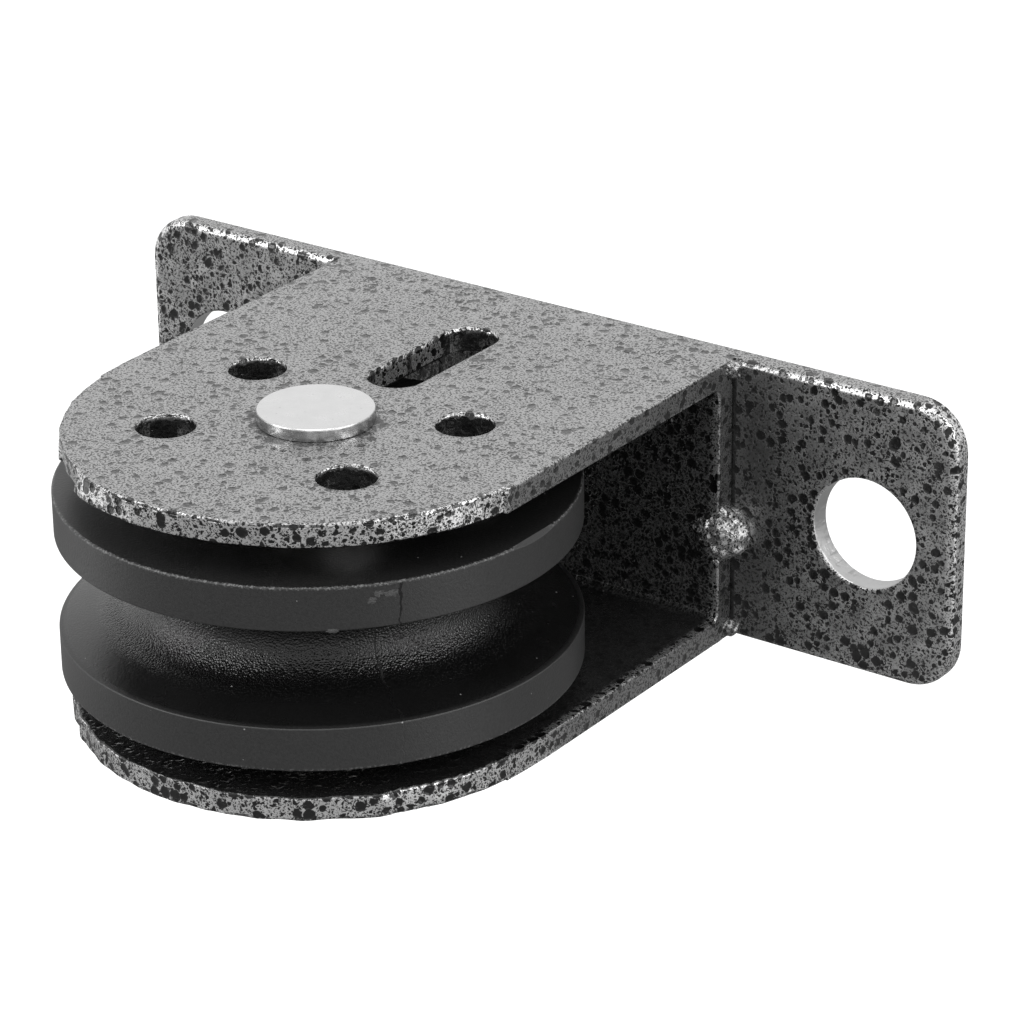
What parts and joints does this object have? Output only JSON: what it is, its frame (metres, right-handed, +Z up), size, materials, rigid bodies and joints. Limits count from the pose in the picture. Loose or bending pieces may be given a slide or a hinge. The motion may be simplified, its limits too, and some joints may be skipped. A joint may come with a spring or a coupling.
{
  "type": "wall-mount pulley block",
  "caption": "Wall-mount pulley block: a grooved black wheel on bearings turns on a riveted axle in a bent steel bracket, which is welded to a flat plate with bolt holes.",
  "frame": {"origin": "centre of the wall plate's back face, which lies on the wall", "axes": "+Y points into the wall, +X runs along the plate to the right as seen from the room, +Z runs up along the axle towards its flat head"},
  "size_m": [0.1376, 0.0864, 0.046],
  "materials": {
    "hammertone_paint": "silver and black hammertone stoving paint",
    "black_nylon": "moulded, fine spark-eroded texture in the groove",
    "plated_axle": "bright plated, lightly scratched",
    "zinc_bush": "zinc plated, turned",
    "bearing_steel": "ground",
    "ball_steel": "polished",
    "cage_strip": "pressed strip",
    "shield_strip": "pressed strip"
  },
  "bodies": {
    "frame": {"mounting_plate": "hammertone_paint", "pulley_bracket": "hammertone_paint", "seam_weld_upper": "hammertone_paint", "seam_weld_lower": "hammertone_paint", "side_tack_welds": "hammertone_paint", "corner_tack_welds": "hammertone_paint", "axle_rivet": "plated_axle", "upper_spacer_bush": "zinc_bush", "lower_spacer_bush": "zinc_bush", "bearing_spacer_tube": "zinc_bush", "upper_bearing_inner_ring": "bearing_steel", "lower_bearing_inner_ring": "bearing_steel"},
    "wheel": {"sheave": "black_nylon", "upper_bearing_outer_ring": "bearing_steel", "upper_bearing_outside_shield": "shield_strip", "upper_bearing_inside_shield": "shield_strip", "lower_bearing_outer_ring": "bearing_steel", "lower_bearing_outside_shield": "shield_strip", "lower_bearing_inside_shield": "shield_strip"},
    "upper_ball_set": {"upper_bearing_balls": "ball_steel", "upper_bearing_cage": "cage_strip"},
    "lower_ball_set": {"lower_bearing_balls": "ball_steel", "lower_bearing_cage": "cage_strip"}
  },
  "joints": [
    {"name": "wheel_spin", "type": "hinge", "parent": "frame", "child": "wheel", "pos_m": [0, -0.0514, 0], "axis": [0, 0, 1], "continuous": true},
    {"name": "upper_ball_set_spin", "type": "hinge", "parent": "frame", "child": "upper_ball_set", "pos_m": [0, -0.0514, 0.0084], "axis": [0, 0, 1], "continuous": true},
    {"name": "lower_ball_set_spin", "type": "hinge", "parent": "frame", "child": "lower_ball_set", "pos_m": [0, -0.0514, -0.0084], "axis": [0, 0, 1], "continuous": true}
  ],
  "couplings": [
    {"joint": "upper_ball_set_spin", "follows": "wheel_spin", "ratio": 0.63228},
    {"joint": "lower_ball_set_spin", "follows": "wheel_spin", "ratio": 0.63228}
  ]
}
